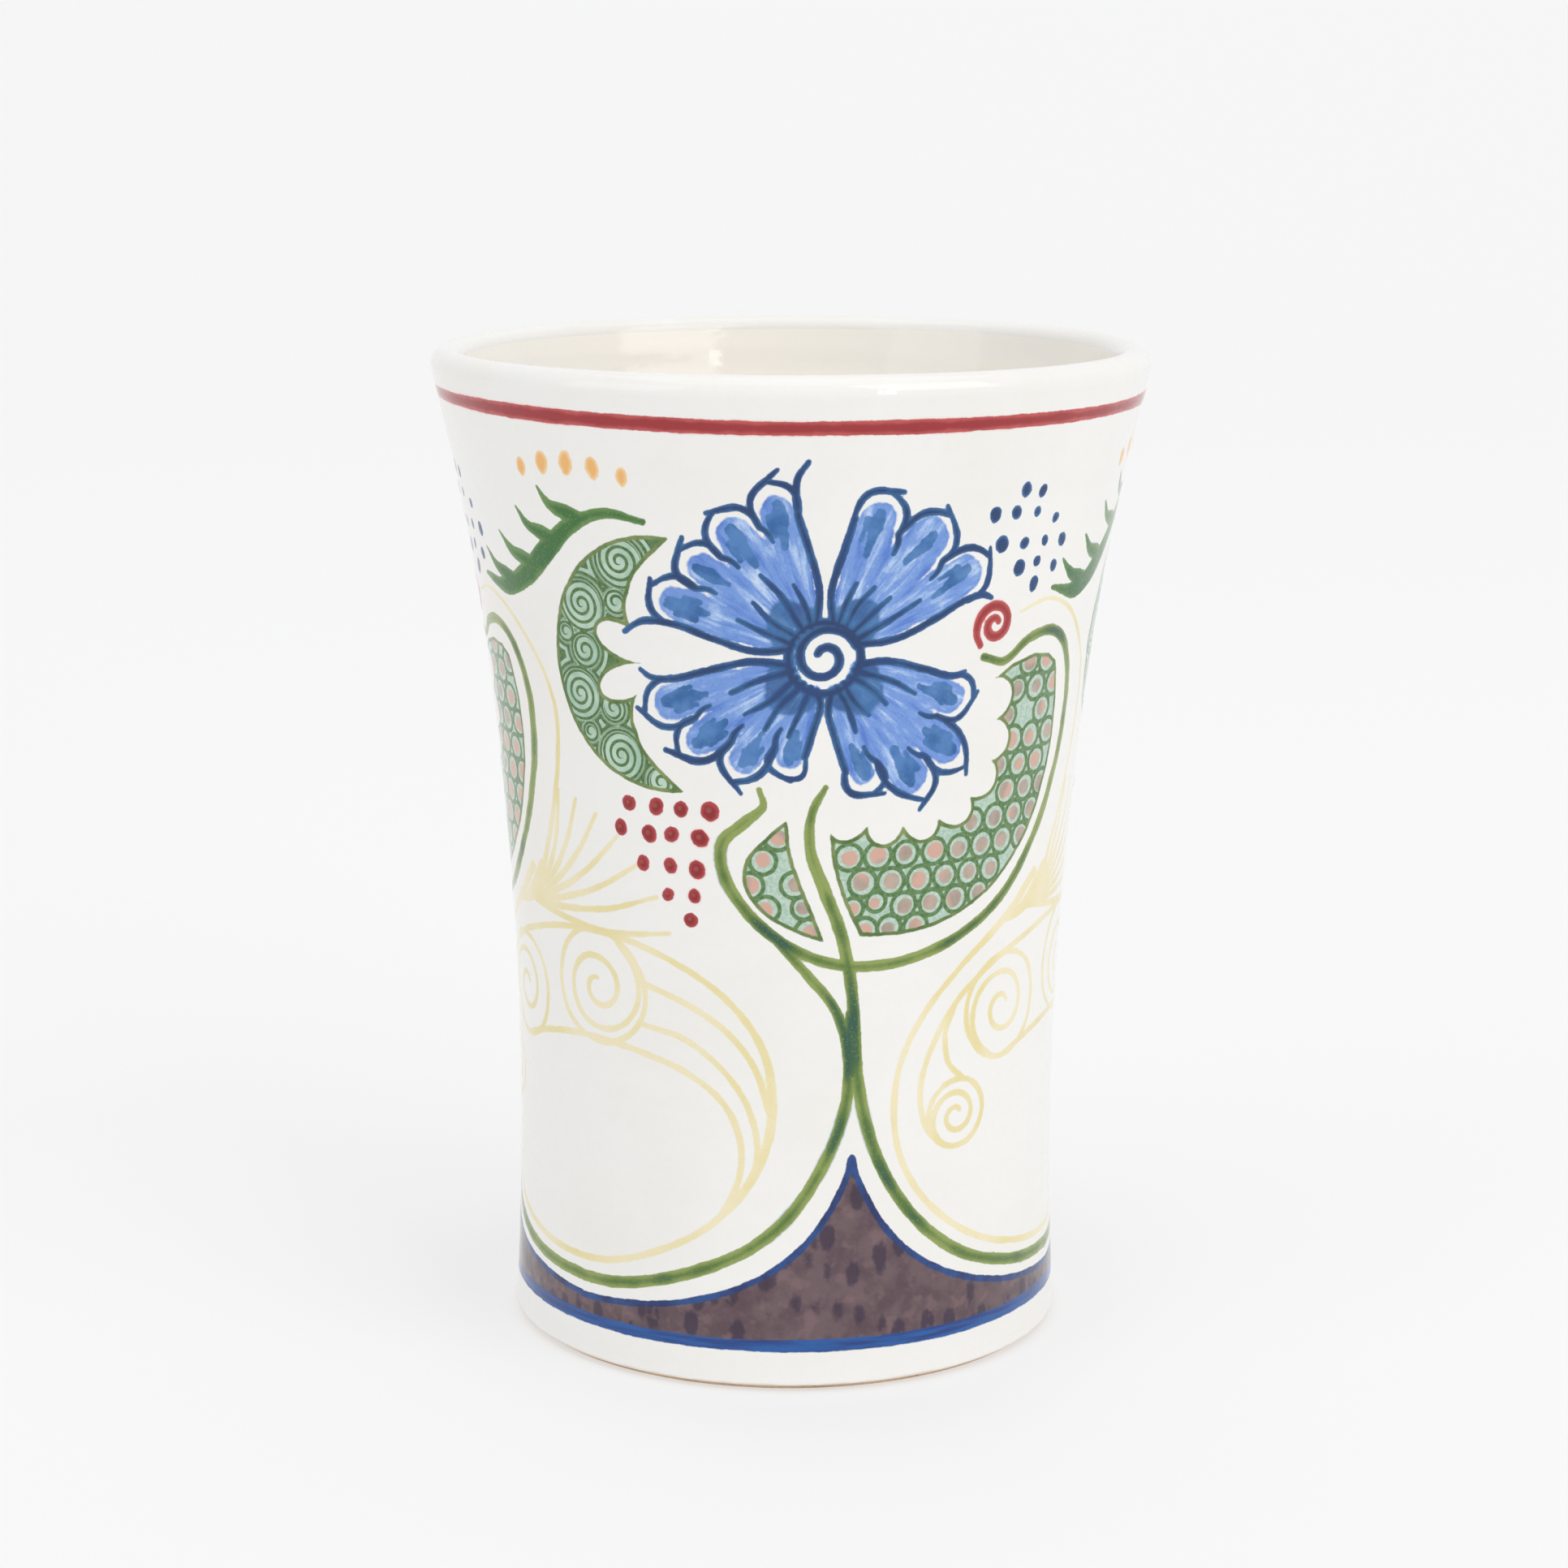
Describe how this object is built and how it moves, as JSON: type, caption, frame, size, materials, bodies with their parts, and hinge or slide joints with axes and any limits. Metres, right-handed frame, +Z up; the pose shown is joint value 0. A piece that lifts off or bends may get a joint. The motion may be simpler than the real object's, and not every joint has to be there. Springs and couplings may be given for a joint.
{
  "type": "stoneware beaker",
  "caption": "Tall handleless stoneware drinking beaker: straight lower wall flaring to a rounded lip, foot ring below, clear glaze over a painted folk flower frieze.",
  "frame": {"origin": "centre of the foot ring, on the plane the beaker stands on", "axes": "+Z up along the beaker's axis; +X and +Y level, with the front flower facing -Y"},
  "size_m": [0.0862, 0.0862, 0.12],
  "materials": {
    "bare_clay": "fired stoneware, matt",
    "clear_glaze_outside": "white, high gloss",
    "clear_glaze_inside": "warm white, high gloss",
    "clear_glaze_underside": "white, gloss",
    "red_underglaze": "brushed colour under gloss",
    "blue_underglaze": "brushed colour under gloss",
    "brown_underglaze": "brushed mottled colour under gloss"
  },
  "bodies": {
    "root": {"clay_body": "bare_clay", "outside_glaze": "clear_glaze_outside", "inside_glaze": "clear_glaze_inside", "underside_glaze": "clear_glaze_underside", "red_rim_line": "red_underglaze", "blue_foot_line": "blue_underglaze", "brown_ground": "brown_underglaze"}
  },
  "joints": []
}
